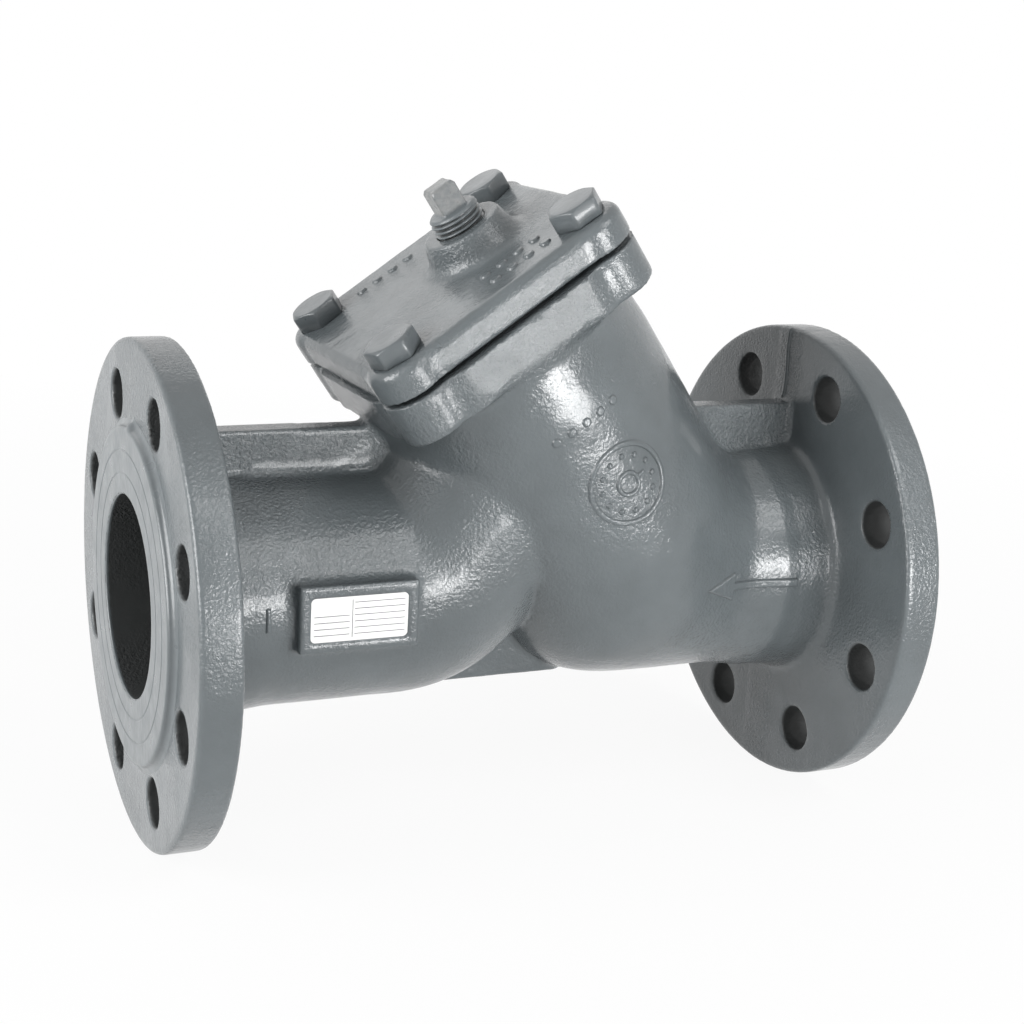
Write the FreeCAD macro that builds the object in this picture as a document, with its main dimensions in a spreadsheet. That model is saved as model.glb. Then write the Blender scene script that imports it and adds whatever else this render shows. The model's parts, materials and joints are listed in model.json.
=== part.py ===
import FreeCAD, Part
import Sketcher
import math
import os
import re

# Cast Y-pattern strainer with two pipe flanges.
# X runs along the pipe from the outlet face (the origin) to the inlet face, Z is up and the branch leans
# over the outlet. The branch's own frame has Z outwards along the branch, and stands on the pipe axis.

SIZES = {
    "face_to_face": (310, "length between the two raised faces"),
    "bore_diameter": (80, "nominal bore of the run"),
    "pipe_wall": (7, "cast wall of the run"),
    "inlet_bore_length": (28, "full bore behind the inlet face"),
    "inlet_step": (0.5, "how much further out the cast passage behind the inlet bore lies"),
    "flange_diameter": (200, "outside of the pipe flanges"),
    "flange_thickness": (19, "pipe flange with its raised face"),
    "raised_face_diameter": (132, "sealing face of a pipe flange"),
    "raised_face_height": (3, "step from flange to sealing face"),
    "bolt_circle": (160, "circle of the pipe flange holes"),
    "flange_hole_diameter": (19, "pipe flange holes"),
    "flange_hole_count": (8, "holes in each pipe flange"),
    "inlet_hub_rise": (4.5, "inlet hub above the pipe at the flange back"),
    "outlet_hub_rise": (1.2, "outlet hub above the pipe at the flange back"),
    "outlet_shoulder_rise": (0.8, "shoulder above the pipe beside the outlet hub"),
    "hub_length": (17, "hub from the flange to its edge"),
    "inlet_shoulder_rise": (2.5, "shoulder above the pipe beside the inlet hub"),
    "hub_shoulder_length": (6, "shoulder beside the hub"),
    "hub_taper_length": (30, "taper from the shoulder into the pipe"),
    "hub_taper_sink": (2, "how far the taper's end lies inside the pipe's skin"),
    "hub_fillet": (4, "fillet from hub to flange"),
    "flange_edge_chamfer": (1, "broken edges of the pipe flanges"),
    "outlet_straight": (105, "straight outlet before it turns up"),
    "outlet_bend_radius": (30, "centre line radius of the outlet's turn"),
    "outlet_bend_angle": (52, "how far the outlet turns up"),
    "branch_crossing": (215, "outlet face to where the axes cross"),
    "branch_angle": (55, "branch from the pipe axis"),
    "branch_diameter": (120, "outside of the branch barrel"),
    "branch_throat_radius": (20, "inside of the turn from inlet to branch"),
    "chamber_diameter": (100, "room around the screen"),
    "mouth_diameter": (92, "opening under the cover"),
    "mouth_depth": (20, "length of the narrower opening"),
    "joint_height": (138.2, "pipe axis to the cover joint, along the branch"),
    "branch_flange_thickness": (18, "square flange of the branch"),
    "cover_width": (115, "across the straight sides of cover and flange"),
    "lobe_radius": (14.8, "rounded corner lobes"),
    "cover_bolt_spacing": (88, "square of the cover bolts"),
    "cover_edge_fillet": (4, "rounded rim of the cover"),
    "gasket_thickness": (2, "flat gasket"),
    "gasket_width": (7, "radial width of the gasket"),
    "cover_thickness": (12.5, "cover plate"),
    "collar_height": (8, "collar under the cover that holds the screen"),
    "boss_offset": (15, "drain boss off the branch axis"),
    "boss_base_diameter": (40, "drain boss at the cover"),
    "boss_top_diameter": (33, "drain boss at its top"),
    "boss_height": (11.8, "drain boss above the cover"),
    "boss_fillet": (5, "fillet from boss to cover"),
    "plug_thread_diameter": (21, "drain plug thread"),
    "plug_thread_length": (24, "drain plug thread, seen and hidden"),
    "plug_stand_off": (7.5, "thread left standing out of the boss"),
    "plug_square": (11, "across the flats of the plug's square"),
    "plug_square_height": (11, "height of the plug's square"),
    "cover_bolt_diameter": (12, "cover bolt shank"),
    "cover_bolt_length": (30, "cover bolt under its head"),
    "bolt_head_width": (19, "across the flats of the bolt head"),
    "bolt_head_height": (8, "bolt head"),
    "bolt_head_land": (0.5, "flat top of the bolt head inside its flats"),
    "seat_height": (0, "screen seat above the pipe axis, along the branch"),
    "seat_depth": (6, "depth of the pocket that holds the lower ring"),
    "seat_hole_diameter": (70, "opening through the partition"),
    "partition_thickness": (11, "partition between inlet and chamber"),
    "screen_diameter": (78, "outside of the screen"),
    "screen_wall": (1.5, "perforated sheet"),
    "screen_hole_diameter": (9, "perforations"),
    "screen_holes_around": (14, "perforations in one row"),
    "screen_rows": (8, "rows of perforations"),
    "screen_row_pitch": (13, "distance between rows"),
    "mesh_thickness": (0.6, "woven liner"),
    "seat_ring_height": (9, "lower ring of the screen"),
    "top_ring_height": (7, "upper ring of the screen"),
    "web_thickness": (12, "cast webs"),
    "web_top_outlet": (65, "top of the web over the outlet"),
    "web_top_inlet": (68, "top of the web over the inlet"),
    "web_bottom": (45.5, "foot of the lower web below the axis"),
    "lower_web_start": (110, "outlet face to the lower web"),
    "lower_web_length": (75, "lower web"),
    "pad_length": (48, "nameplate pad"),
    "pad_width": (26.5, "nameplate pad"),
    "pad_start": (53.5, "outlet face to the pad"),
    "pad_centre": (1.2, "pad's middle above the pipe axis"),
    "pad_rise": (5, "pad above the pipe"),
    "pad_border": (4.2, "rim of the pad around the plate"),
    "plate_thickness": (0.8, "nameplate"),
    "plate_recess": (1.4, "depth of the pocket in the pad"),
    "plate_corner": (2, "rounded corners of the plate"),
    "plate_clearance": (0.3, "gap around the nameplate"),
    "thread_clearance": (0.05, "radial gap in a threaded hole"),
    "bolt_clearance": (1, "radial gap of a bolt in the cover"),
    "collar_clearance": (0.5, "radial gap of collar and gasket"),
    "screen_clearance": (0.3, "gap of the screen in its seat and collar"),
}
CORNER_SHARPNESS = 14

doc = FreeCAD.newDocument("flanged_strainer")
sheet = doc.addObject("Spreadsheet::Sheet", "Sizes")
for row, (alias, (size, note)) in enumerate(SIZES.items(), 1):
    sheet.set(f"A{row}", note)
    sheet.set(f"B{row}", str(size))
    sheet.setAlias(f"B{row}", alias)
doc.recompute()


def sized(text):
    """Turn plain size names into references to the sheet."""
    return re.sub(r"[a-z_]+", lambda m: f"Sizes.{m[0]}" if m[0] in SIZES else m[0], str(text))


def number(text):
    """Value of a size expression, in millimetres or degrees."""
    result = sheet.evalExpression(sized(text))
    return float(getattr(result, "Value", result))


def bind(obj, **expressions):
    """Bind properties of an object to size expressions."""
    for prop, text in expressions.items():
        obj.setExpression(prop, sized(text))
    return obj


def place(obj, x=0, y=0, z=0, along="Z"):
    """Put an object at a bound position, with its own Z along the named axis."""
    turn = {"X": ((1, 1, 1), 120), "Z": ((0, 0, 1), 0)}[along]
    obj.Placement = FreeCAD.Placement(FreeCAD.Vector(), FreeCAD.Rotation(FreeCAD.Vector(*turn[0]), turn[1]))
    for axis, text in zip("xyz", (x, y, z)):
        obj.setExpression(f"Placement.Base.{axis}", sized(text))
    return obj


def stand_on_branch(obj):
    """Turn an object from the branch's own frame into place on the pipe."""
    obj.Placement = FreeCAD.Placement(FreeCAD.Vector(), FreeCAD.Rotation(FreeCAD.Vector(0, -1, 0), 35))
    obj.setExpression("Placement.Base.x", sized("branch_crossing"))
    obj.setExpression("Placement.Rotation.Angle", sized("90 - branch_angle"))
    return obj


def cylinder(name, radius, height, **position):
    return place(bind(doc.addObject("Part::Cylinder", name), Radius=radius, Height=height), **position)


def cone(name, start_radius, end_radius, height, **position):
    obj = doc.addObject("Part::Cone", name)
    return place(bind(obj, Radius1=start_radius, Radius2=end_radius, Height=height), **position)


def box(name, length, width, height, **position):
    return place(bind(doc.addObject("Part::Box", name), Length=length, Width=width, Height=height), **position)


def fuse(name, *parts):
    obj = doc.addObject("Part::MultiFuse", name)
    obj.Shapes = list(parts)
    return obj


def join(name, first, *others):
    """Join parts one after the other."""
    joined = first
    for k, other in enumerate(others, 1):
        step = doc.addObject("Part::Fuse", name if other is others[-1] else f"{name}_step_{k}")
        step.Base = joined
        step.Tool = other
        step.Refine = False
        joined = step
    return joined


def cut(name, base, tool):
    obj = doc.addObject("Part::Cut", name)
    obj.Base = base
    obj.Tool = tool
    return obj


def fillet(name, base, radius, chosen):
    """Round the edges of base that the test picks."""
    doc.recompute()
    obj = doc.addObject("Part::Fillet", name)
    obj.Base = base
    size = number(radius)
    obj.Edges = [(i, size, size) for i, edge in enumerate(base.Shape.Edges, 1) if chosen(edge)]
    return obj


def body_plane(body, role):
    return next(f for f in body.Origin.OriginFeatures if f.Role == role)


def new_body(name):
    body = doc.addObject("PartDesign::Body", name)
    body.Label = name
    return body


def sketch_on(body, name, role, lift="0"):
    """Sketch on one of a body's origin planes, lifted off it by a bound distance."""
    sketch = body.newObject("Sketcher::SketchObject", name)
    sketch.AttachmentSupport = (body_plane(body, role), [""])
    sketch.MapMode = "FlatFace"
    sketch.setExpression("AttachmentOffset.Base.z", sized(lift))
    return sketch


def bound_constraint(sketch, kind, *where, to):
    index = sketch.addConstraint(Sketcher.Constraint(kind, *where, number(to)))
    sketch.setExpression(f"Constraints[{index}]", sized(to))


def draw_outline(sketch, points):
    """Closed outline of straight lines through bound points."""
    spots = [FreeCAD.Vector(number(x), number(y), 0) for x, y in points]
    first = sketch.GeometryCount
    for start, end in zip(spots, spots[1:] + spots[:1]):
        sketch.addGeometry(Part.LineSegment(start, end), False)
    for k, (x, y) in enumerate(points):
        line = first + k
        after = first + (k + 1) % len(points)
        sketch.addConstraint(Sketcher.Constraint("Coincident", line, 2, after, 1))
        bound_constraint(sketch, "DistanceX", -1, 1, line, 1, to=x)
        bound_constraint(sketch, "DistanceY", -1, 1, line, 1, to=y)


def draw_circle(sketch, radius, x="0", y="0"):
    centre = FreeCAD.Vector(number(x), number(y), 0)
    circle = sketch.addGeometry(Part.Circle(centre, FreeCAD.Vector(0, 0, 1), number(radius)), False)
    bound_constraint(sketch, "DistanceX", -1, 1, circle, 3, to=x)
    bound_constraint(sketch, "DistanceY", -1, 1, circle, 3, to=y)
    bound_constraint(sketch, "Radius", circle, to=radius)


def add_feature(body, kind, name, sketch=None, **expressions):
    """Feature of a part body, on a sketch or on the last feature."""
    feature = body.newObject(f"PartDesign::{kind}", name)
    if sketch:
        feature.Profile = sketch
        sketch.Visibility = False
    return bind(feature, **expressions)


def revolve(body, name, sketch, axis, angle="360"):
    feature = add_feature(body, "Revolution", name, sketch, Angle=angle)
    feature.ReferenceAxis = (sketch, [axis])
    return feature


def dress(body, kind, name, size, chosen):
    """Fillet or chamfer the edges of a part body that the test picks."""
    doc.recompute()
    base = body.Tip
    names = [f"Edge{i}" for i, edge in enumerate(base.Shape.Edges, 1) if chosen(edge)]
    feature = add_feature(body, kind, name)
    feature.Base = (base, names)
    return bind(feature, **size)


def ring_at(position, radius, axis="x"):
    """Test for a full circle of this radius at this place along an axis."""
    def chosen(edge):
        curve = edge.Curve
        if not isinstance(curve, Part.Circle):
            return False
        return abs(getattr(curve.Center, axis) - number(position)) < 0.01 and abs(curve.Radius - number(radius)) < 0.01
    return chosen


PIPE_RADIUS = "(bore_diameter / 2 + pipe_wall)"
TURN_END_X = "(outlet_straight + outlet_bend_radius * sin(outlet_bend_angle))"
TURN_END_Z = "(outlet_bend_radius * (1 - cos(outlet_bend_angle)))"
HINGE_Z = f"({PIPE_RADIUS} + branch_throat_radius)"
HINGE_W = "(branch_diameter / 2 + branch_throat_radius)"
HINGE_X = f"(branch_crossing + ({HINGE_W} - {HINGE_Z} * cos(branch_angle)) / sin(branch_angle))"
HINGE_HEIGHT = f"({HINGE_Z} * sin(branch_angle) - ({HINGE_X} - branch_crossing) * cos(branch_angle))"
PARTITION_UNDERSIDE = "(seat_height + seat_depth - partition_thickness)"
COVER_SEAT = "(joint_height + gasket_thickness)"
COVER_TOP = f"({COVER_SEAT} + cover_thickness)"
BOSS_TOP = f"({COVER_TOP} + boss_height)"
SCREEN_TOP = f"({COVER_SEAT} - screen_clearance)"
COVER_BOLTS = [("cover_bolt_spacing / 2", "cover_bolt_spacing / 2"),
               ("cover_bolt_spacing / 2", "-cover_bolt_spacing / 2"),
               ("-cover_bolt_spacing / 2", "-cover_bolt_spacing / 2"),
               ("-cover_bolt_spacing / 2", "cover_bolt_spacing / 2")]


def pipe_end(name, side, from_face, cut_inwards):
    """Pipe flange with raised face, hub, shoulder and bolt holes, turned about X.

    from_face turns a distance behind the sealing face into a place on X. side names the sizes of the hub.
    """
    body = new_body(name)
    hub = f"{PIPE_RADIUS} + {side}_hub_rise"
    shoulder = f"{PIPE_RADIUS} + {side}_shoulder_rise"
    hub_end = "flange_thickness + hub_length"
    shoulder_end = f"{hub_end} + hub_shoulder_length"
    taper_end = f"{shoulder_end} + hub_taper_length"
    outline = [("0", "0"), ("0", "raised_face_diameter / 2"),
               ("raised_face_height", "raised_face_diameter / 2"), ("raised_face_height", "flange_diameter / 2"),
               ("flange_thickness", "flange_diameter / 2"), ("flange_thickness", hub),
               (hub_end, shoulder), (shoulder_end, shoulder),
               (taper_end, f"{PIPE_RADIUS} - hub_taper_sink"), (taper_end, "0")]
    section = sketch_on(body, f"{name}_section", "XZ_Plane")
    draw_outline(section, [(from_face(x), radius) for x, radius in outline])
    revolve(body, f"{name}_turned", section, "H_Axis")
    dress(body, "Fillet", f"{name}_root", {"Radius": "hub_fillet"}, ring_at(from_face("flange_thickness"), hub))
    rim = [ring_at(from_face(x), "flange_diameter / 2") for x in ("raised_face_height", "flange_thickness")]
    dress(body, "Chamfer", f"{name}_rim", {"Size": "flange_edge_chamfer"}, lambda edge: any(r(edge) for r in rim))
    hole = sketch_on(body, f"{name}_hole", "YZ_Plane", from_face("0"))
    draw_circle(hole, "flange_hole_diameter / 2", "bolt_circle / 2 * sin(180 / flange_hole_count)",
                "bolt_circle / 2 * cos(180 / flange_hole_count)")
    drilled = add_feature(body, "Pocket", f"{name}_drilled", hole, Length="flange_thickness")
    drilled.Reversed = not cut_inwards
    holes = add_feature(body, "PolarPattern", f"{name}_holes", Occurrences="flange_hole_count")
    holes.Originals = [drilled]
    holes.Axis = (hole, ["N_Axis"])
    body.Tip = holes
    return body


def outlet_turn(name, radius):
    """Lower half of the outlet's turn: a round section cut off at the turn's axis, swung about it."""
    body = new_body(name)
    section = sketch_on(body, f"{name}_section", "YZ_Plane", "outlet_straight")
    chord = f"min(outlet_bend_radius; 0.98 * {radius})"
    half = f"sqrt(pow({radius}; 2) - pow({chord}; 2))"
    y, x = number(chord), number(half)
    below = Part.Arc(FreeCAD.Vector(-x, y), FreeCAD.Vector(0, -number(radius)), FreeCAD.Vector(x, y))
    arc = section.addGeometry(below, False)
    lid = section.addGeometry(Part.LineSegment(FreeCAD.Vector(x, y), FreeCAD.Vector(-x, y)), False)
    height = number("outlet_bend_radius")
    axis = section.addGeometry(Part.LineSegment(FreeCAD.Vector(-x, height), FreeCAD.Vector(x, height)), True)
    section.addConstraint(Sketcher.Constraint("Coincident", arc, 2, lid, 1))
    section.addConstraint(Sketcher.Constraint("Coincident", lid, 2, arc, 1))
    section.addConstraint(Sketcher.Constraint("Coincident", arc, 3, -1, 1))
    bound_constraint(section, "Radius", arc, to=radius)
    bound_constraint(section, "DistanceY", -1, 1, lid, 1, to=chord)
    bound_constraint(section, "DistanceY", -1, 1, lid, 2, to=chord)
    section.addConstraint(Sketcher.Constraint("Horizontal", axis))
    bound_constraint(section, "DistanceY", -1, 1, axis, 1, to="outlet_bend_radius")
    bound_constraint(section, "DistanceX", -1, 1, axis, 1, to=f"-({half})")
    bound_constraint(section, "DistanceX", -1, 1, axis, 2, to=half)
    revolve(body, f"{name}_swung", section, "Axis0", "outlet_bend_angle").Reversed = True
    return body


def outlet_passage(name, radius, lead):
    """Run of the outlet: straight, turned up, then straight into the barrel."""
    straight = cylinder(f"{name}_straight", radius, f"outlet_straight + {lead}", x=f"-({lead})", along="X")
    turn = outlet_turn(f"{name}_turn", radius)
    rise = cylinder(f"{name}_rise", radius, "branch_diameter * 0.35", x=TURN_END_X, z=TURN_END_Z)
    rise.Placement.Rotation = FreeCAD.Rotation(FreeCAD.Vector(0, 1, 0), 38)
    rise.setExpression("Placement.Rotation.Angle", sized("90 - outlet_bend_angle"))
    return join(name, straight, turn, rise)


def bowl(name, inset, count, straight_between):
    """Turn from the inlet's round section to the barrel's, swung about an axis above the inner corner.

    The first and last are the circles of the run and the barrel. The ellipses between them reach out to
    the underside of the run or the low side of the barrel, whichever is nearer, with the corner softened.
    """
    sections = []
    for k in range(count):
        swing = f"(branch_angle * {k} / {count - 1})"
        to_run = f"(({HINGE_Z} + {PIPE_RADIUS} - {inset}) / cos({swing}))"
        to_barrel = f"(({HINGE_W} + branch_diameter / 2 - {inset}) / cos(branch_angle - {swing}))"
        sharp = f"pow({to_run}; -{CORNER_SHARPNESS}) + pow({to_barrel}; -{CORNER_SHARPNESS})"
        reach = f"pow({sharp}; -1 / {CORNER_SHARPNESS})"
        start = f"(branch_throat_radius + {inset})"
        share = f"max(0; ({swing} - 10) / (branch_angle - 10))"
        widening = f"(pow({share}; 2) * (3 - 2 * {share}))"
        if k in (0, count - 1):
            radius = PIPE_RADIUS if k == 0 else "branch_diameter / 2"
            section = bind(doc.addObject("Part::Circle", f"{name}_section_{k}"), Radius=f"{radius} - {inset}")
            middle = HINGE_Z if k == 0 else HINGE_W
        else:
            section = doc.addObject("Part::Ellipse", f"{name}_section_{k}")
            bind(section, MajorRadius=f"({reach} - {start}) / 2",
                 MinorRadius=f"{PIPE_RADIUS} - {inset} + (branch_diameter / 2 - {PIPE_RADIUS}) * {widening}")
            middle = f"(({reach} + {start}) / 2)"
        section.Placement.Rotation = FreeCAD.Rotation(FreeCAD.Vector(0, 1, 0), 90 + k)
        section.setExpression("Placement.Rotation.Angle", sized(f"90 + {swing}"))
        section.setExpression("Placement.Base.x", sized(f"{HINGE_X} - {middle} * sin({swing})"))
        section.setExpression("Placement.Base.z", sized(f"{HINGE_Z} - {middle} * cos({swing})"))
        sections.append(section)
    loft = doc.addObject("Part::Loft", name)
    loft.Sections = sections
    loft.Solid = True
    loft.Ruled = straight_between
    loft.MaxDegree = 3
    return loft


def lobed_plate(name, start, thickness):
    """Square plate, in the branch's frame, whose four corners are round lobes about the cover bolts."""
    straight = "cover_bolt_spacing / 2"
    side = "cover_width / 2"
    across = box(f"{name}_across", f"2 * {straight}", f"2 * {side}", thickness,
                 x=f"-{straight}", y=f"-{side}", z=start)
    along = box(f"{name}_along", f"2 * {side}", f"2 * {straight}", thickness,
                x=f"-{side}", y=f"-{straight}", z=start)
    lobes = [cylinder(f"{name}_lobe_{k}", "lobe_radius", thickness, x=x, y=y, z=start)
             for k, (x, y) in enumerate(COVER_BOLTS, 1)]
    return fuse(name, across, along, *lobes)


def cast_body():
    """The casting: outside forms joined, then the two passages, the seat and the threaded holes cut out."""
    outlet_end = pipe_end("outlet_end", "outlet", lambda x: x, False)
    inlet_end = pipe_end("inlet_end", "inlet", lambda x: f"face_to_face - ({x})", True)
    outlet_run = outlet_passage("outlet_run", PIPE_RADIUS, "0")
    barrel = cylinder("barrel", "branch_diameter / 2", f"joint_height - {HINGE_HEIGHT} - branch_flange_thickness / 2",
                      z=HINGE_HEIGHT)
    branch_flange = lobed_plate("branch_flange", "joint_height - branch_flange_thickness", "branch_flange_thickness")
    branch = stand_on_branch(join("branch", barrel, branch_flange))
    outlet_web = box("outlet_web", "branch_crossing - flange_thickness - branch_diameter / 2", "web_thickness",
                     f"web_top_outlet - {PIPE_RADIUS} / 2",
                     x="flange_thickness - 2", y="-web_thickness / 2", z=f"{PIPE_RADIUS} / 2")
    inlet_web = box("inlet_web", "face_to_face - flange_thickness + 2 - branch_crossing", "web_thickness",
                    f"web_top_inlet - {PIPE_RADIUS} * 0.9",
                    x="branch_crossing", y="-web_thickness / 2", z=f"{PIPE_RADIUS} * 0.9")
    lower_web = box("lower_web", "lower_web_length", "web_thickness", "web_bottom * 0.6",
                    x="lower_web_start", y="-web_thickness / 2", z="-web_bottom")
    pad = box("plate_pad", "pad_length", f"pad_rise + {PIPE_RADIUS} * 0.3", "pad_width",
              x="pad_start", y=f"-{PIPE_RADIUS} - pad_rise", z="pad_centre - pad_width / 2")
    outside = join("casting_outside", bowl("bowl", "0", 13, False), branch, outlet_run, outlet_end, inlet_end,
                   outlet_web, inlet_web, lower_web, pad)

    outlet_way = outlet_passage("outlet_way", "bore_diameter / 2", "1")
    chamber_floor = "seat_height + seat_depth"
    chamber = cylinder("chamber", "chamber_diameter / 2", f"joint_height - mouth_depth - {chamber_floor}",
                       z=chamber_floor)
    mouth = cylinder("mouth", "mouth_diameter / 2", "mouth_depth + 2", z="joint_height - mouth_depth - 1")
    pocket = cylinder("seat_pocket", "screen_diameter / 2 + screen_clearance", "seat_depth + 1", z="seat_height")
    opening = cylinder("seat_opening", "seat_hole_diameter / 2", "partition_thickness",
                       z=f"{PARTITION_UNDERSIDE} - 1")
    depth = "cover_bolt_length - cover_thickness - gasket_thickness + 1"
    threads = [cylinder(f"cover_thread_{k}", "cover_bolt_diameter / 2 + thread_clearance", f"{depth} + 1",
                        x=x, y=y, z=f"joint_height - ({depth})") for k, (x, y) in enumerate(COVER_BOLTS, 1)]
    branch_way = stand_on_branch(fuse("branch_way", chamber, mouth, pocket, opening, *threads))
    inlet_bore = cylinder("inlet_bore", "bore_diameter / 2", "inlet_bore_length + 2",
                          x="face_to_face - inlet_bore_length - 1", along="X")
    inlet_run = cylinder("inlet_run", "bore_diameter / 2 + inlet_step",
                         f"face_to_face - inlet_bore_length - {HINGE_X}", x=HINGE_X, along="X")
    inlet_room = join("inlet_room", bowl("bowl_inside", "(pipe_wall - inlet_step)", 7, True), inlet_run, inlet_bore)
    above = stand_on_branch(box("above_partition", "2 * face_to_face", "2 * face_to_face", "face_to_face"))
    reach = sized("face_to_face")
    height = sized(PARTITION_UNDERSIDE)
    above.setExpression("Placement.Base.x", sized("branch_crossing") + f" - {height} * cos({sized('branch_angle')})"
                        f" - {reach} * sin({sized('branch_angle')})")
    above.setExpression("Placement.Base.y", f"-{reach}")
    above.setExpression("Placement.Base.z", f"{height} * sin({sized('branch_angle')})"
                        f" - {reach} * cos({sized('branch_angle')})")
    inlet_way = cut("inlet_way", inlet_room, above)
    plate_pocket = box("plate_pocket", "pad_length - 2 * pad_border", "plate_recess + 1", "pad_width - 2 * pad_border",
                       x="pad_start + pad_border", y=f"-{PIPE_RADIUS} - pad_rise - 1",
                       z="pad_centre - pad_width / 2 + pad_border")
    emptied = outside
    for k, way in enumerate((outlet_way, branch_way, inlet_way), 1):
        emptied = cut(f"casting_emptied_{k}", emptied, way)
    return cut("strainer_body", emptied, plate_pocket)


def cover():
    """Cover plate with rounded rim, drain boss and the collar that holds the screen."""
    plate = lobed_plate("cover_plate", COVER_SEAT, "cover_thickness")
    doc.recompute()
    top = number(COVER_TOP)
    rounded = fillet("cover_rounded", plate, "cover_edge_fillet",
                     lambda edge: all(abs(v.Z - top) < 0.01 for v in edge.Vertexes)
                     and max(abs(edge.CenterOfMass.x), abs(edge.CenterOfMass.y)) > number("cover_bolt_spacing / 2"))
    boss = cone("drain_boss", "boss_base_diameter / 2", "boss_top_diameter / 2", "boss_height",
                x="boss_offset", z=COVER_TOP)
    collar = cylinder("collar", "mouth_diameter / 2 - collar_clearance", "collar_height + 1",
                      z=f"{COVER_SEAT} - collar_height")
    blank = fuse("cover_blank", rounded, boss, collar)
    filleted = fillet("cover_filleted", blank, "boss_fillet", ring_at(COVER_TOP, "boss_base_diameter / 2", "z"))
    socket = cylinder("screen_socket", "screen_diameter / 2 + screen_clearance", "collar_height",
                      z=f"{COVER_SEAT} - collar_height")
    drain = cylinder("drain_thread", "plug_thread_diameter / 2 + thread_clearance", "boss_height + cover_thickness + 2",
                     x="boss_offset", z=f"{COVER_SEAT} - 1")
    holes = [cylinder(f"cover_hole_{k}", "cover_bolt_diameter / 2 + bolt_clearance", "cover_thickness + 2",
                      x=x, y=y, z=f"{COVER_SEAT} - 1") for k, (x, y) in enumerate(COVER_BOLTS, 1)]
    return stand_on_branch(cut("cover", filleted, fuse("cover_openings", socket, drain, *holes)))


def cover_gasket():
    inner = "mouth_diameter / 2"
    ring = cylinder("gasket_ring", f"{inner} + gasket_width", "gasket_thickness", z="joint_height")
    hole = cylinder("gasket_hole", inner, "gasket_thickness + 2", z="joint_height - 1")
    return stand_on_branch(cut("cover_gasket", ring, hole))


def cover_bolt(k, x, y):
    """Hexagon bolt whose head is a prism with its corners turned off."""
    name = f"cover_bolt_{k}"
    prism = place(bind(doc.addObject("Part::Prism", f"{name}_prism"), Circumradius="bolt_head_width / 2 / cos(30)",
                       Height="bolt_head_height"), x=x, y=y, z=COVER_TOP)
    prism.Polygon = 6
    face = "(bolt_head_width / 2 - bolt_head_land)"
    turned = cone(f"{name}_turned", f"{face} + bolt_head_height / tan(30)", face, "bolt_head_height",
                  x=x, y=y, z=COVER_TOP)
    head = doc.addObject("Part::MultiCommon", f"{name}_head")
    head.Shapes = [prism, turned]
    shank = cylinder(f"{name}_shank", "cover_bolt_diameter / 2", "cover_bolt_length + 1",
                     x=x, y=y, z=f"{COVER_TOP} - cover_bolt_length")
    return stand_on_branch(fuse(name, head, shank))


def drain_plug():
    """Threaded plug with a square head."""
    top = f"({BOSS_TOP} + plug_stand_off)"
    thread = cylinder("plug_thread", "plug_thread_diameter / 2", "plug_thread_length",
                      x="boss_offset", z=f"{top} - plug_thread_length")
    square = box("plug_square_head", "plug_square", "plug_square", "plug_square_height + 1",
                 x="boss_offset - plug_square / 2", y="-plug_square / 2", z=f"{top} - 1")
    return stand_on_branch(fuse("drain_plug", thread, square))


def screen_ring(name, start, height):
    """Turned ring that closes one end of the screen."""
    outer = cylinder(f"{name}_outside", "screen_diameter / 2", height, z=start)
    inner = cylinder(f"{name}_inside", "screen_diameter / 2 - screen_wall - mesh_thickness", f"{height} + 2",
                     z=f"{start} - 1")
    return stand_on_branch(cut(name, outer, inner))


def screen_tube():
    """Sheet rolled to a tube, with round holes in staggered rows."""
    outer = number("screen_diameter / 2")
    wall = number("screen_wall")
    low = number("seat_height + seat_ring_height")
    high = number(f"{SCREEN_TOP} - top_ring_height")
    rows = int(number("screen_rows"))
    around = int(number("screen_holes_around"))
    pitch = number("screen_row_pitch")
    hole = number("screen_hole_diameter / 2")
    sheet_tube = Part.makeCylinder(outer, high - low, FreeCAD.Vector(0, 0, low))
    sheet_tube = sheet_tube.cut(Part.makeCylinder(outer - wall, high - low, FreeCAD.Vector(0, 0, low)))
    drills = []
    for row in range(rows):
        height = (low + high) / 2 + pitch * (row - (rows - 1) / 2)
        for k in range(around):
            angle = 2 * math.pi * (k + row % 2 / 2) / around
            out = FreeCAD.Vector(math.cos(angle), math.sin(angle), 0)
            start = out * (outer - 3 * wall) + FreeCAD.Vector(0, 0, height)
            drills.append(Part.makeCylinder(hole, 5 * wall, start, out))
    obj = doc.addObject("Part::Feature", "screen_tube")
    obj.Shape = sheet_tube.cut(drills)
    return stand_on_branch(obj)


def screen_mesh():
    """Woven liner inside the tube, between the two rings."""
    start = "(seat_height + seat_ring_height)"
    height = f"({SCREEN_TOP} - top_ring_height - {start})"
    outer = cylinder("mesh_outside", "screen_diameter / 2 - screen_wall", height, z=start)
    inner = cylinder("mesh_inside", "screen_diameter / 2 - screen_wall - mesh_thickness", f"{height} + 2",
                     z=f"{start} - 1")
    return stand_on_branch(cut("screen_mesh", outer, inner))


def nameplate():
    """Blank plate with rounded corners, lying in the pad's pocket."""
    body = new_body("nameplate")
    face = sketch_on(body, "plate_outline", "XZ_Plane", f"{PIPE_RADIUS} + pad_rise - plate_recess")
    left = "pad_start + pad_border + plate_clearance"
    right = "pad_start + pad_length - pad_border - plate_clearance"
    low = "pad_centre - pad_width / 2 + pad_border + plate_clearance"
    high = "pad_centre + pad_width / 2 - pad_border - plate_clearance"
    draw_outline(face, [(left, low), (right, low), (right, high), (left, high)])
    add_feature(body, "Pad", "plate_sheet", face, Length="plate_thickness")
    dress(body, "Fillet", "plate_corners", {"Radius": "plate_corner"},
          lambda edge: abs(edge.tangentAt(edge.FirstParameter).y) > 0.99)
    return body


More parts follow.
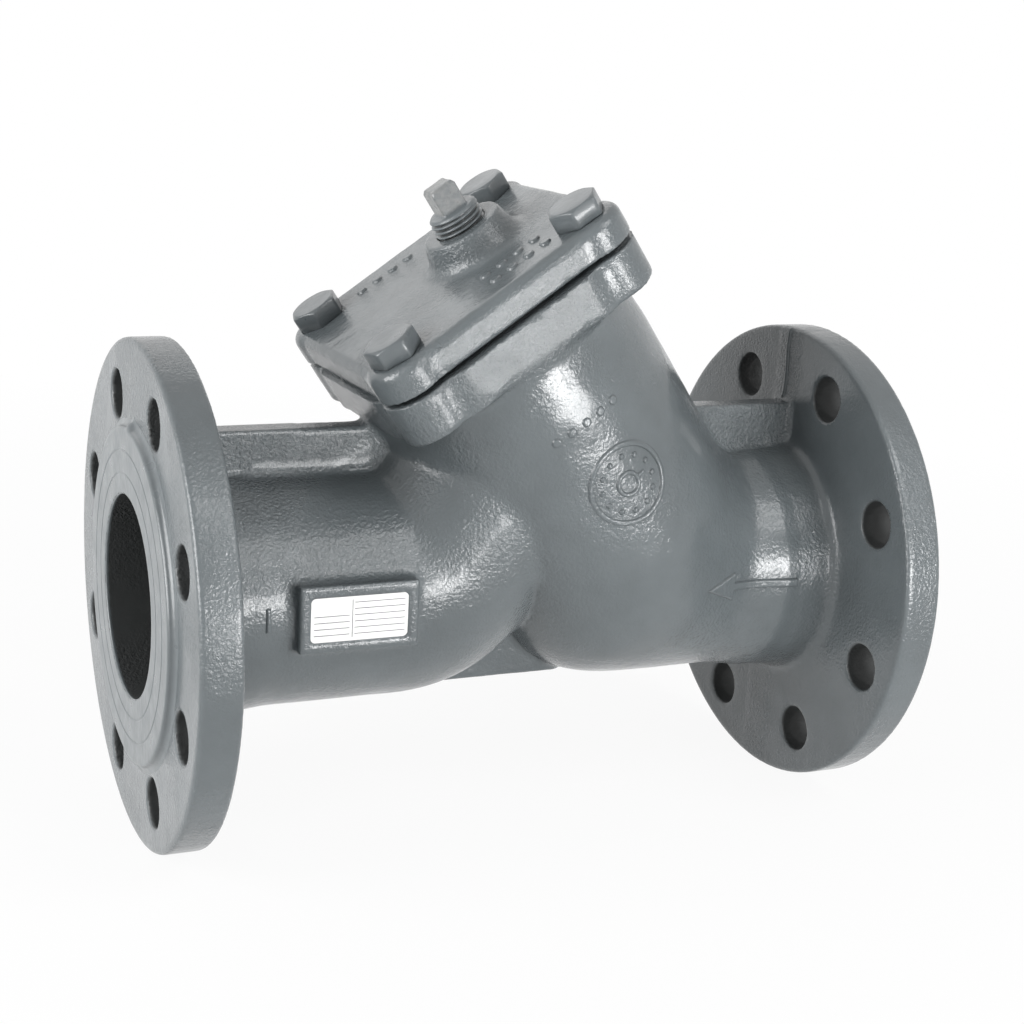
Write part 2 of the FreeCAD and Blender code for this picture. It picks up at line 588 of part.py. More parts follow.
def check(parts):
    """Stop if any object failed or any part is missing or broken."""
    doc.recompute()
    for obj in doc.Objects:
        if {"Invalid", "Error"} & set(obj.State):
            raise RuntimeError(f"{obj.Name} failed: {obj.State}")
    for part in parts:
        if part.Shape.isNull() or not part.Shape.isValid():
            raise RuntimeError(f"{part.Label} has no valid shape")
        if len(part.Shape.Solids) != 1:
            raise RuntimeError(f"{part.Label} has {len(part.Shape.Solids)} solids")


def write(parts):
    os.makedirs("parts", exist_ok=True)
    for part in parts:
        part.Shape.exportStep(f"parts/{part.Label}.step")
        box = part.Shape.BoundBox
        print(f"{part.Label}: {part.Shape.Volume / 1000:.1f} cm3, x {box.XMin:.1f} {box.XMax:.1f}, "
              f"y {box.YMin:.1f} {box.YMax:.1f}, z {box.ZMin:.1f} {box.ZMax:.1f}")


parts = [cast_body(), nameplate(), cover_gasket(), cover(), drain_plug()]
parts += [cover_bolt(k, x, y) for k, (x, y) in enumerate(COVER_BOLTS, 1)]
parts += [screen_tube(), screen_mesh(), screen_ring("screen_seat_ring", "seat_height", "seat_ring_height"),
          screen_ring("screen_top_ring", f"{SCREEN_TOP} - top_ring_height", "top_ring_height")]
check(parts)
write(parts)
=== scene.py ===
import json
import math

import bmesh
import bpy
import numpy as np
from bpy.props import FloatProperty, FloatVectorProperty, IntProperty, PointerProperty
from mathutils import Matrix, Vector


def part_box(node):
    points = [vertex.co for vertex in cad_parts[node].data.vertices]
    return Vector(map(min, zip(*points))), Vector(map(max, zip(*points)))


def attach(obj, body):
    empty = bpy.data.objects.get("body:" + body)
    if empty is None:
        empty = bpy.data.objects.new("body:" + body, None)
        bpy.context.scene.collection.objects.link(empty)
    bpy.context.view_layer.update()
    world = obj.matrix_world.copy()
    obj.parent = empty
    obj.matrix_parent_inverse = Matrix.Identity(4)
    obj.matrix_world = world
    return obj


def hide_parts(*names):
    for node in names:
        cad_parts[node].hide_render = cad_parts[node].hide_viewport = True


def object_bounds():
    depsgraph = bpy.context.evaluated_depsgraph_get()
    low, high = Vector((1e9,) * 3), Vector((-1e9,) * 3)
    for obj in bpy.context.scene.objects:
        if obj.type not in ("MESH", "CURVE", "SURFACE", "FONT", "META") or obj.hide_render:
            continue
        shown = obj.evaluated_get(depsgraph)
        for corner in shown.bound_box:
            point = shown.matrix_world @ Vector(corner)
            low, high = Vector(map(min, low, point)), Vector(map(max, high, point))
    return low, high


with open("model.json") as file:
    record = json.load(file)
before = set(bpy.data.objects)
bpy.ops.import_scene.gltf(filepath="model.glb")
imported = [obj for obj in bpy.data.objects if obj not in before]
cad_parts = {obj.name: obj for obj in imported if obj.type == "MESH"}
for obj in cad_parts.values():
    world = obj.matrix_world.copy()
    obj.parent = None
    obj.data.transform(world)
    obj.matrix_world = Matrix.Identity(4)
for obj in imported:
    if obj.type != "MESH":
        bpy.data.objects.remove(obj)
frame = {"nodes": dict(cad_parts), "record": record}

bl_info = {
    "name": "Flanged strainer",
    "version": (1, 0, 0),
    "blender": (4, 5, 0),
    "location": "View3D > Sidebar > Strainer",
    "description": "Builds the painted castings, bolts, plug, plate and screen of a Y strainer around its frame",
    "category": "Object",
}

MM = 0.001
RECORD = frame["record"]
MOUNTS = {mount["name"]: mount for mount in RECORD["mounts"]}
JOINTS = {joint["name"]: joint for joint in RECORD["behaviour"]["joints"]}
BORE_RADIUS = MOUNTS["outlet_bore"]["dims"]["r_mm"] * MM
BOLT_CIRCLE_RADIUS = MOUNTS["outlet_bolts"]["dims"]["pcd_mm"] / 2 * MM
FLANGE_HOLE_RADIUS = MOUNTS["outlet_bolts"]["dims"]["hole_r_mm"] * MM
FLANGE_HOLES = MOUNTS["outlet_bolts"]["dims"]["count"]
LENGTH = MOUNTS["inlet_bore"]["pos_m"][0]
RAISED_FACE = MOUNTS["outlet_bolts"]["pos_m"][0]
ALONG = np.array(JOINTS["cover_lift"]["axis"])
SIDE = np.array((0.0, 1.0, 0.0))
ACROSS = np.cross(SIDE, ALONG)
BRANCH_FOOT = np.array((215 * MM, 0.0, 0.0))
PIPE_RADIUS = 47 * MM
BARREL_RADIUS = 60 * MM
FLANGE_THICKNESS = 19 * MM
FLANGE_SIDE = 59.2 * MM
NECK_DEPTH = 1.5 * MM
GROOVE_RADII = (48, 57)
GROOVE_PROFILE = ((-0.8, 0.05), (-0.4, 0.05), (0, 0.6), (0.4, 0.05), (0.8, 0.05))
CAD_BOX = [list(corner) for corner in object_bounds()]


def node_points(node):
    """All vertices of a CAD node as rows of x, y, z."""
    mesh = frame["nodes"][node].data
    points = np.empty(len(mesh.vertices) * 3, np.float32)
    mesh.vertices.foreach_get("co", points)
    return points.reshape(-1, 3).astype(float)


def branch_span(node):
    """How far along the branch a CAD node starts and ends, and its middle across and beside the branch."""
    local = (node_points(node) - BRANCH_FOOT) @ np.stack((ACROSS, SIDE, ALONG), 1)
    low, high = local.min(0), local.max(0)
    return low[2], high[2], (low[0] + high[0]) / 2, (low[1] + high[1]) / 2


def in_branch(points):
    """Points given as across, beside and along the branch, turned into the frame."""
    return BRANCH_FOOT + points @ np.stack((ACROSS, SIDE, ALONG))


def to_branch(points):
    """Points of the frame as across, beside and along the branch."""
    return (points - BRANCH_FOOT) @ np.stack((ACROSS, SIDE, ALONG), 1)


def sway(points, wavelength, seed, waves=28):
    """Smooth unevenness from -1 to 1: the mean of many sine waves of one length in random directions."""
    rng = np.random.default_rng(seed)
    turns = rng.normal(size=(3, waves))
    turns *= 2 * np.pi / (wavelength * np.linalg.norm(turns, axis=0))
    lengths = rng.uniform(0.7, 1.4, waves)
    phase = rng.uniform(0, 2 * np.pi, waves)
    return np.sin(points @ (turns * lengths) + phase).sum(1) / math.sqrt(waves * 2)


def smooth_step(low, high, value):
    """0 below low, 1 above high, and an even S curve between."""
    share = np.clip((value - low) / (high - low), 0, 1)
    return share * share * (3 - 2 * share)


def add_mesh(name, points, faces, material, body):
    """New piece from rows of points and faces, at the origin, riding on a body."""
    mesh = bpy.data.meshes.new(name)
    mesh.from_pydata([], [], [])
    mesh.vertices.add(len(points))
    mesh.vertices.foreach_set("co", np.ascontiguousarray(points, np.float32).ravel())
    corners = np.concatenate([np.ravel(f) for f in faces]).astype(np.int32)
    sizes = np.concatenate([np.full(len(f), np.shape(f)[1]) for f in faces]).astype(np.int32)
    mesh.loops.add(len(corners))
    mesh.loops.foreach_set("vertex_index", corners)
    mesh.polygons.add(len(sizes))
    mesh.polygons.foreach_set("loop_start", np.concatenate(([0], np.cumsum(sizes)[:-1])).astype(np.int32))
    mesh.update(calc_edges=True)
    mesh.validate()
    mesh.shade_smooth()
    return place_piece(mesh, name, material, body)


def place_piece(mesh, name, material, body):
    """Link a finished mesh as a piece that rides on a body and takes a material slot's finish."""
    piece = bpy.data.objects.new(name, mesh)
    bpy.context.scene.collection.objects.link(piece)
    mesh.materials.clear()
    mesh.materials.append(material)
    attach(piece, body)
    return piece


def grid_faces(rows, columns, wrap_columns, start=0):
    """Quads of a grid of points numbered row by row."""
    last = columns if wrap_columns else columns - 1
    r, c = np.meshgrid(np.arange(rows - 1), np.arange(last), indexing="ij")
    after = (c + 1) % columns
    return start + np.stack((r * columns + c, r * columns + after, (r + 1) * columns + after,
                             (r + 1) * columns + c), -1).reshape(-1, 4)


def turned(rows):
    """Closed skin through rows of (radius, height) arrays over the angle: grid of x, y, z and its faces.

    The first and last rows have radius 0, so they are drawn together into the two poles.
    """
    radius = np.array([np.broadcast_to(r, rows[1][0].shape) for r, _ in rows])
    height = np.array([np.broadcast_to(h, rows[1][0].shape) for _, h in rows])
    columns = radius.shape[1]
    angle = np.arange(columns) * 2 * np.pi / columns
    points = np.stack((radius * np.cos(angle), radius * np.sin(angle), height), -1)
    ring = points[1:-1].reshape(-1, 3)
    poles = np.array([(0, 0, height[0, 0]), (0, 0, height[-1, 0])])
    first = np.arange(columns)
    after = (first + 1) % columns
    last_row = (len(rows) - 3) * columns
    low, high = len(ring), len(ring) + 1
    caps = np.concatenate((np.stack((np.full(columns, low), after, first), -1),
                           np.stack((np.full(columns, high), last_row + first, last_row + after), -1)))
    return np.concatenate((ring, poles)), [grid_faces(len(rows) - 2, columns, True), caps]


def ground(mesh, name):
    """Temporary object that carries a mesh while modifiers work on it."""
    obj = bpy.data.objects.new(name, mesh)
    bpy.context.scene.collection.objects.link(obj)
    return obj


def worked(obj):
    """Mesh of an object after its modifiers; the object goes."""
    depsgraph = bpy.context.evaluated_depsgraph_get()
    mesh = bpy.data.meshes.new_from_object(obj.evaluated_get(depsgraph), depsgraph=depsgraph)
    bpy.data.objects.remove(obj)
    return mesh


def mesh_points(mesh):
    points = np.empty(len(mesh.vertices) * 3, np.float32)
    mesh.vertices.foreach_get("co", points)
    return points.reshape(-1, 3).astype(float)


def mesh_normals(mesh):
    normals = np.empty(len(mesh.vertices) * 3, np.float32)
    mesh.vertex_normals.foreach_get("vector", normals)
    return normals.reshape(-1, 3).astype(float)


def relax(mesh, points, share, passes):
    """Move every point towards the mean of its neighbours by its share, so that creases become fillets."""
    edges = np.empty(len(mesh.edges) * 2, np.int32)
    mesh.edges.foreach_get("vertices", edges)
    a, b = edges.reshape(-1, 2).T
    count = np.bincount(edges, minlength=len(points))[:, None]
    for _ in range(passes):
        total = np.stack([np.bincount(a, points[b, i], len(points)) + np.bincount(b, points[a, i], len(points))
                          for i in range(3)], 1)
        points = points + share[:, None] * 0.5 * (total / count - points)
    return points


def casting_skin(node, voxel, triangles, shape):
    """Remesh a copy of a CAD node evenly, let shape move its points, and thin it to a number of triangles.

    shape gets the mesh and its points, and returns the new points and a dictionary of point attributes.
    """
    source = frame["nodes"][node].data.copy()
    merged = bmesh.new()
    merged.from_mesh(source)
    bmesh.ops.remove_doubles(merged, verts=merged.verts, dist=1e-6)
    merged.to_mesh(source)
    merged.free()
    obj = ground(source, f"{node}_source")
    remesh = obj.modifiers.new("even", "REMESH")
    remesh.mode = "VOXEL"
    remesh.voxel_size = voxel
    mesh = worked(obj)
    points, attributes = shape(mesh, mesh_points(mesh))
    mesh.vertices.foreach_set("co", points.astype(np.float32).ravel())
    for name, values in attributes.items():
        layer = mesh.attributes.new(name, "FLOAT", "POINT")
        layer.data.foreach_set("value", values.astype(np.float32))
    obj = ground(mesh, f"{node}_even")
    thin = obj.modifiers.new("thin", "DECIMATE")
    thin.ratio = min(1.0, triangles / (2 * len(mesh.polygons)))
    mesh = worked(obj)
    mesh.shade_smooth()
    return mesh


def centre_lines():
    """Points in the middle of the passages: along the pipe's two ends, and up the branch."""
    run = np.linspace(0, LENGTH, 90)[:, None] * np.array((1.0, 0, 0))
    branch = BRANCH_FOOT + np.linspace(0, branch_span("cover_gasket")[0], 40)[:, None] * ALONG
    return np.concatenate((run, branch))


def body_inside(points, normals):
    """1 on the walls of the passages, whose normals look at the middle of a passage, and 0 outside."""
    middle = centre_lines()
    nearest = np.full(len(points), np.inf)
    towards = np.zeros_like(points)
    for spot in middle:
        gap = spot - points
        distance = np.linalg.norm(gap, axis=1)
        closer = distance < nearest
        nearest[closer] = distance[closer]
        towards[closer] = gap[closer] / distance[closer, None]
    facing = (normals * towards).sum(1)
    return smooth_step(0.15, 0.3, facing) * (nearest < 53 * MM)


def flange_hole_distance(points):
    """Distance from the nearest bolt hole's axis in a pipe flange."""
    angle = np.arctan2(points[:, 2], points[:, 1])
    step = 2 * np.pi / FLANGE_HOLES
    turn = angle % step - step / 2
    radius = np.hypot(points[:, 1], points[:, 2])
    return np.sqrt(np.maximum(radius**2 + BOLT_CIRCLE_RADIUS**2
                              - 2 * radius * BOLT_CIRCLE_RADIUS * np.cos(turn), 0))


def keep_flats_flat(piece):
    """Let large faces rule the shading, so that flats beside small fillets look flat."""
    weighted = piece.modifiers.new("flats", "WEIGHTED_NORMAL")
    weighted.mode = "FACE_AREA"
    weighted.weight = 80


def rounded(mesh, points, share):
    """Round convex edges a little and fill concave creases with wide cast fillets."""
    sizes = bpy.context.scene.strainer_sizes
    points = relax(mesh, points, share, sizes.edge_passes)
    mesh.vertices.foreach_set("co", points.astype(np.float32).ravel())
    mesh.update()
    normals = mesh_normals(mesh)
    filled = relax(mesh, points, share, sizes.fillet_passes)
    rise = ((filled - points) * normals).sum(1)
    free = smooth_step(0.8, 1.0, share)
    return points + normals * (np.maximum(rise, 0) * free)[:, None]


def uneven(mesh, points, cast, seed):
    """Lift the cast faces by slow waves and a finer ripple."""
    sizes = bpy.context.scene.strainer_sizes
    mesh.vertices.foreach_set("co", points.astype(np.float32).ravel())
    mesh.update()
    normals = mesh_normals(mesh)
    lift = sizes.unevenness * (sway(points, 17 * MM, seed) + 0.45 * sway(points, 5 * MM, seed + 1))
    return points + normals * (lift * cast)[:, None], normals


def flange_sides(points, joint):
    """Draw the branch flange's straight sides out a little and the barrel's neck under it in."""
    local = to_branch(points)
    width = np.abs(local[:, :2])
    reach = np.hypot(local[:, 0], local[:, 1])
    in_flange = smooth_step(joint - 18.4 * MM, joint - 17.8 * MM, local[:, 2])
    for axis in (0, 1):
        on_side = ((width[:, axis] > 52 * MM) & (width[:, axis] < 61 * MM)) * in_flange \
            * smooth_step(38 * MM, 30 * MM, width[:, 1 - axis]) * (local[:, 2] < joint + MM)
        flat = np.sign(local[:, axis]) * FLANGE_SIDE
        local[:, axis] += on_side * (flat - local[:, axis])
    under_flange = smooth_step(joint - 48 * MM, joint - 22 * MM, local[:, 2])
    neck = ((reach > 55 * MM) & (reach < 61 * MM)) * (1 - in_flange) * under_flange
    local[:, :2] *= (1 - neck * np.minimum(NECK_DEPTH, reach) / reach)[:, None]
    return in_branch(local)


def body_shape(mesh, points):
    """Round the body's creases, keep its machined places true, and give the cast places an uneven skin."""
    joint = branch_span("cover_gasket")[0]
    points = flange_sides(points, joint)
    mesh.vertices.foreach_set("co", points.astype(np.float32).ravel())
    mesh.update()
    x = points[:, 0]
    radius = np.hypot(points[:, 1], points[:, 2])
    local = to_branch(points)
    from_end = np.minimum(x, LENGTH - x)
    in_flange = from_end < FLANGE_THICKNESS + 0.6 * MM
    share = np.ones(len(points))
    share[in_flange & (from_end < RAISED_FACE + 0.5 * MM)] = 0.15
    share[in_flange & (radius > 97 * MM)] = 0.3
    share[in_flange & (flange_hole_distance(points) < FLANGE_HOLE_RADIUS + 1.2 * MM)] = 0.2
    share[radius < BORE_RADIUS + 0.4 * MM] = 0.15
    share[local[:, 2] > joint - 0.6 * MM] = 0.1
    low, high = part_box("nameplate")
    share[(points[:, 1] < -PIPE_RADIUS - 0.5 * MM) & (x > low[0] - 8 * MM) & (x < high[0] + 8 * MM)
          & (np.abs(points[:, 2]) < 25 * MM)] = 0.12
    share[(x > LENGTH - 48 * MM) & (x < LENGTH - 31 * MM) & (radius < 52 * MM)] = 0.4
    normals = mesh_normals(mesh)
    inside = body_inside(points, normals)
    share = np.minimum(share, 1 - 0.5 * inside)
    points = rounded(mesh, points, share)
    cast = smooth_step(0.3, 1.0, share) * (1 - inside) * smooth_step(0, 3 * MM, radius - BORE_RADIUS)
    points, normals = uneven(mesh, points, cast, 3)
    on_raised_face = (from_end < 2.2 * MM) & (radius > BORE_RADIUS + 0.5 * MM)
    points[:, 0] += np.sign(LENGTH / 2 - x) * np.where(on_raised_face, sizes_of("face_relief"), 0)
    web = smooth_step(8.5 * MM, 7 * MM, np.abs(points[:, 1]))
    web = web * (radius > PIPE_RADIUS + 1 * MM) * (from_end > 15 * MM)
    square = smooth_step(joint - 22 * MM, joint - 17 * MM, local[:, 2])
    between_lobes = smooth_step(36 * MM, 30 * MM, np.minimum(np.abs(local[:, 0]), np.abs(local[:, 1])))
    outside = np.hypot(local[:, 0], local[:, 1]) > 50 * MM
    rough = np.clip(web * (local[:, 2] < joint - 24 * MM) + square * between_lobes * outside, 0, 1)
    # The walls of the bolt holes join the passages' mask, so they get its near-black colour as painted shade.
    edge_of_hole = smooth_step(FLANGE_HOLE_RADIUS + 0.8 * MM, FLANGE_HOLE_RADIUS, flange_hole_distance(points))
    holes = edge_of_hole * (from_end < FLANGE_THICKNESS + MM)
    return points, {"rough": rough, "inside": np.maximum(inside, holes)}


def sizes_of(name):
    """One of the sizes that the panel shows."""
    return getattr(bpy.context.scene.strainer_sizes, name)


def cover_shape(mesh, points):
    """Round the cover's edges and give its cast faces an uneven skin."""
    local = to_branch(points)
    seat = branch_span("cover_gasket")[1]
    plug_across = branch_span("drain_plug")[2]
    share = np.ones(len(points))
    share[local[:, 2] < seat + 2 * MM] = 0.15
    share[np.hypot(local[:, 0] - plug_across, local[:, 1]) < 12 * MM] = 0.3
    points = rounded(mesh, points, share)
    points, normals = uneven(mesh, points, smooth_step(0.3, 1.0, share), 7)
    sideways = smooth_step(0.3, 0.75, 1 - np.abs(normals @ ALONG))
    between_lobes = smooth_step(36 * MM, 30 * MM, np.minimum(np.abs(local[:, 0]), np.abs(local[:, 1])))
    rough = sideways * between_lobes * (np.abs(local[:, :2]).max(1) > 50 * MM)
    return points, {"rough": rough, "inside": np.zeros(len(points))}


class NodeTree:
    """Short way to add nodes to a material and link them."""

    def __init__(self, name):
        self.material = bpy.data.materials.new(name)
        self.material.use_nodes = True
        self.tree = self.material.node_tree
        self.shader = self.tree.nodes["Principled BSDF"]

    def add(self, kind, **inputs):
        node = self.tree.nodes.new(kind)
        for key, value in inputs.items():
            if hasattr(node, key) and key not in node.inputs:
                setattr(node, key, value)
            else:
                self.put(node.inputs[key.replace("_", " ")], value)
        return node

    def put(self, socket, value):
        if isinstance(value, bpy.types.NodeSocket):
            self.tree.links.new(value, socket)
        else:
            socket.default_value = value

    def math(self, operation, *values):
        node = self.tree.nodes.new("ShaderNodeMath")
        node.operation = operation
        for socket, value in zip(node.inputs, values):
            self.put(socket, value)
        return node.outputs[0]

    def noise(self, scale, detail=2.0, roughness=0.5):
        node = self.add("ShaderNodeTexNoise", Scale=scale, Detail=detail, Roughness=roughness)
        self.put(node.inputs["Vector"], self.coordinates())
        return node.outputs["Fac"]

    def coordinates(self):
        return self.add("ShaderNodeTexCoord").outputs["Object"]

    def attribute(self, name):
        node = self.tree.nodes.new("ShaderNodeAttribute")
        node.attribute_name = name
        return node.outputs["Fac"]

    def mix(self, share, first, second):
        node = self.tree.nodes.new("ShaderNodeMix")
        node.data_type = "RGBA"
        self.put(node.inputs[0], share)
        self.put(node.inputs[6], first)
        self.put(node.inputs[7], second)
        return node.outputs[2]

    def ramp(self, value, low, high, start=0.0, end=1.0):
        node = self.add("ShaderNodeMapRange", Value=value)
        for key, number in (("From Min", low), ("From Max", high), ("To Min", start), ("To Max", end)):
            node.inputs[key].default_value = number
        return node.outputs[0]

    def bump(self, height, distance, under=None):
        node = self.add("ShaderNodeBump", Distance=distance, Height=height)
        if under:
            self.put(node.inputs["Normal"], under)
        return node.outputs["Normal"]

    def finish(self, color, roughness, normal=None, **uniform):
        """Link colour, roughness and normal, and set what is the same all over on the shader itself."""
        self.put(self.shader.inputs["Base Color"], color)
        self.put(self.shader.inputs["Roughness"], roughness)
        if normal:
            self.put(self.shader.inputs["Normal"], normal)
        for key, value in uniform.items():
            self.shader.inputs[key.replace("_", " ")].default_value = value
        return self.material


def shade(color, factor):
    """A colour made lighter or darker, with full alpha."""
    return tuple(c * factor for c in color[:3]) + (1.0,)


def casting_paint():
    """Semi-gloss paint over a sand casting: fine orange peel all over, coarse grain on the rough places."""
    colours = bpy.context.scene.strainer_colours
    m = NodeTree("painted_casting")
    rough = m.attribute("rough")
    inside = m.attribute("inside")
    tone = m.ramp(m.noise(28, 4, 0.6), 0.3, 0.7)
    paint = m.mix(tone, shade(colours.paint, 0.90), shade(colours.paint, 1.10))
    # The passages and bolt holes take a near-black colour: partly their darker bare metal, partly painted shade where
    # little light reaches in.
    color = m.mix(inside, paint, shade(colours.bore_dark_and_shade, 1.0))
    patches = m.ramp(m.noise(18, 3, 0.6), 0.42, 0.62, 0.25, 1.0)
    extra = m.math("SUBTRACT", m.math("MULTIPLY", rough, 1.1), m.math("MULTIPLY", inside, 0.2))
    depth = m.math("ADD", patches, extra)
    swell = m.bump(m.noise(170, 2), 0.17 * MM)
    normal = m.bump(m.math("MULTIPLY", m.noise(760, 2, 0.55), depth), 0.62 * MM, swell)
    gloss = m.math("ADD", m.ramp(m.noise(60, 2), 0.3, 0.7, 0.15, 0.26), m.math("MULTIPLY", inside, 0.5))
    return m.finish(color, gloss, normal, Coat_Weight=0.2, Coat_Roughness=0.12, Specular_IOR_Level=0.45)


def smooth_paint(name, factor):
    """The same paint on smooth steel: bolts and small marks."""
    colours = bpy.context.scene.strainer_colours
    m = NodeTree(name)
    tone = m.ramp(m.noise(120, 3), 0.3, 0.7)
    color = m.mix(tone, shade(colours.paint, 0.92 * factor), shade(colours.paint, 1.08 * factor))
    normal = m.bump(m.noise(380, 2), 0.12 * MM)
    return m.finish(color, m.ramp(m.noise(90, 2), 0.3, 0.7, 0.26, 0.4), normal, Coat_Weight=0.3, Coat_Roughness=0.15)


def plug_paint():
    """Thin paint over a forged plug: the square's faces are half bare, and painted shade darkens the thread between its
    turns.
    """
    colours = bpy.context.scene.strainer_colours
    m = NodeTree("plug_paint")
    bare = m.math("MULTIPLY", m.ramp(m.noise(420, 4, 0.7), 0.35, 0.7, 0.2, 0.7), m.attribute("square"))
    color = m.mix(bare, shade(colours.paint, 1.05), (0.24, 0.237, 0.23, 1))
    # Painted shade: the roots of the thread turn near black.
    color = m.mix(m.attribute("groove"), color, (0.03, 0.032, 0.032, 1))
    normal = m.bump(m.noise(600, 3), 0.2 * MM)
    return m.finish(color, m.ramp(m.noise(300, 2), 0.3, 0.7, 0.25, 0.45), normal, Coat_Weight=0.2)


def plate_metal():
    """Bright satin sheet with inked lines."""
    m = NodeTree("plate_metal")
    tone = m.ramp(m.noise(70, 3), 0.3, 0.7)
    color = m.mix(tone, (0.68, 0.68, 0.67, 1), (0.75, 0.75, 0.74, 1))
    normal = m.bump(m.noise(800, 2), 0.02 * MM)
    return m.finish(color, m.ramp(m.noise(200, 2), 0.3, 0.7, 0.35, 0.5), normal)


def stainless():
    """Bare sheet with faint lines from rolling."""
    m = NodeTree("stainless")
    brushed = m.add("ShaderNodeTexNoise", Scale=60.0, Detail=4.0)
    stretch = m.add("ShaderNodeMapping", Vector=m.coordinates(), Scale=(1, 60, 1))
    m.put(brushed.inputs["Vector"], stretch.outputs[0])
    color = m.mix(brushed.outputs["Fac"], (0.40, 0.40, 0.39, 1), (0.52, 0.52, 0.505, 1))
    return m.finish(color, m.ramp(brushed.outputs["Fac"], 0.3, 0.7, 0.38, 0.52),
                    m.bump(brushed.outputs["Fac"], 0.03 * MM), Metallic=1.0)


def woven_wire():
    """Fine wire cloth: waves along the branch and round it."""
    m = NodeTree("woven_wire")
    spot = m.add("ShaderNodeMapping", Vector=m.coordinates())
    spot.inputs["Rotation"].default_value = (0, math.atan2(ALONG[0], ALONG[2]), 0)
    waves = []
    for direction in ("X", "Z"):
        wave = m.add("ShaderNodeTexWave", Scale=300.0)
        wave.bands_direction = direction
        m.put(wave.inputs["Vector"], spot.outputs[0])
        waves.append(wave.outputs["Fac"])
    weave = m.math("MULTIPLY", *waves)
    color = m.mix(weave, (0.10, 0.10, 0.10, 1), (0.62, 0.62, 0.60, 1))
    return m.finish(color, 0.4, m.bump(weave, 0.2 * MM), Metallic=0.9)


def graphite():
    """Dark pressed graphite sheet."""
    m = NodeTree("graphite")
    color = m.mix(m.noise(300, 3), (0.018, 0.018, 0.019, 1), (0.04, 0.04, 0.042, 1))
    return m.finish(color, 0.6, m.bump(m.noise(900, 2), 0.05 * MM), Metallic=0.2)


def swept(name, profile, height_of, columns, material, body):
    """Closed ring about the pipe axis from a closed profile of (radius, x, share) points; returns the piece.

    height_of gives each column's extra radius as a function of its angle. A point takes its share of it.
    """
    angle = np.arange(columns) * 2 * np.pi / columns
    profile = np.array(profile)
    radius = profile[:, 0][:, None] + profile[:, 2][:, None] * height_of(angle)
    points = np.stack(np.broadcast_arrays(profile[:, 1][:, None], radius * np.cos(angle), radius * np.sin(angle)), -1)
    rows = len(profile)
    r, c = np.meshgrid(np.arange(rows), np.arange(columns), indexing="ij")
    below, after = (r + 1) % rows, (c + 1) % columns
    faces = np.stack((r * columns + c, below * columns + c, below * columns + after, r * columns + after),
                     -1).reshape(-1, 4)
    if np.sign(profile[:, 1].mean() - LENGTH / 2) > 0:
        faces = faces[:, ::-1]
    return add_mesh(name, points.reshape(-1, 3), [faces], material, body)


def relief(name, target, centre, u_axis, v_axis, half_u, half_v, height, material, body):
    """Raised mark on a casting: a grid laid over the target's skin and lifted by a height over (u, v).

    The grid is projected on the skin along the cross product of its axes. Where the height is 0 it lies
    under the skin, and a second layer deeper in the metal closes it.
    """
    step = 0.4 * MM
    u = np.arange(-half_u, half_u + step / 2, step)
    v = np.arange(-half_v, half_v + step / 2, step)
    uu, vv = np.meshgrid(u, v, indexing="ij")
    outward = np.cross(u_axis, v_axis)
    flat = centre + uu[..., None] * u_axis + vv[..., None] * v_axis + 25 * MM * outward
    mesh = bpy.data.meshes.new(name)
    mesh.from_pydata(flat.reshape(-1, 3).tolist(), [], grid_faces(len(u), len(v), False)[:, ::-1].tolist())
    obj = ground(mesh, f"{name}_grid")
    wrap = obj.modifiers.new("wrap", "SHRINKWRAP")
    wrap.target = bpy.data.objects[target]
    wrap.wrap_method = "PROJECT"
    wrap.use_negative_direction = True
    wrap.use_positive_direction = True
    laid = mesh_points(worked(obj))
    raise_by = height(uu, vv).reshape(-1, 1)
    sink = 0.6 * MM
    top = laid + outward * (raise_by + sink * (np.clip(raise_by / (0.25 * MM), 0, 1) - 1))
    foot = laid - outward * 1.2 * MM
    faces = grid_faces(len(u), len(v), False)
    count = len(laid)
    rim = np.concatenate((np.arange(len(v)), np.arange(2, len(u)) * len(v) - 1,
                          np.arange(len(u) * len(v) - 1, (len(u) - 1) * len(v) - 1, -1),
                          np.arange(len(u) - 2, 0, -1) * len(v)))
    after = np.roll(rim, -1)
    sides = np.stack((rim, after, after + count, rim + count), -1)
    turned_faces = [faces[:, ::-1], faces + count, sides]
    return add_mesh(name, np.concatenate((top, foot)), turned_faces, material, body)


def edge(distance, softness=0.45 * MM):
    """1 inside a shape whose signed distance is given, falling to 0 over a soft edge."""
    return smooth_step(softness, -softness, distance)


def arrow_height(u, v):
    """Flow arrow that points to -u: a triangular head and a straight shaft, lifted 1.5 mm."""
    head_base, tip, half_head, half_shaft, tail = -8 * MM, -22.5 * MM, 6 * MM, 1.7 * MM, 22 * MM
    slope = half_head / (head_base - tip)
    length = math.hypot(1, slope)
    head = np.maximum((np.abs(v) - (u - tip) * slope) / length, u - head_base)
    shaft = np.maximum(np.abs(v) - half_shaft, np.maximum(head_base - 1 * MM - u, u - tail))
    return 1.5 * MM * edge(np.minimum(head, shaft), 0.45 * MM)


def dial_height(u, v):
    """Foundry date dial without figures: a raised rim, a ring of twelve pips, a hub and a pointer."""
    radius = np.hypot(u, v)
    rim = np.abs(radius - 16 * MM) - 1.0 * MM
    hub = np.abs(radius - 4.5 * MM) - 0.8 * MM
    step = math.pi / 6
    turn = np.arctan2(v, u) % step - step / 2
    pips = np.sqrt(np.maximum(radius**2 + (11.5 * MM)**2 - 2 * radius * 11.5 * MM * np.cos(turn), 0)) - 1.1 * MM
    pointer = np.maximum(np.abs(v) - 0.7 * MM, np.abs(u - 6 * MM) - 2.5 * MM)
    return 1.0 * MM * edge(np.minimum(np.minimum(rim, hub), np.minimum(pips, pointer)))


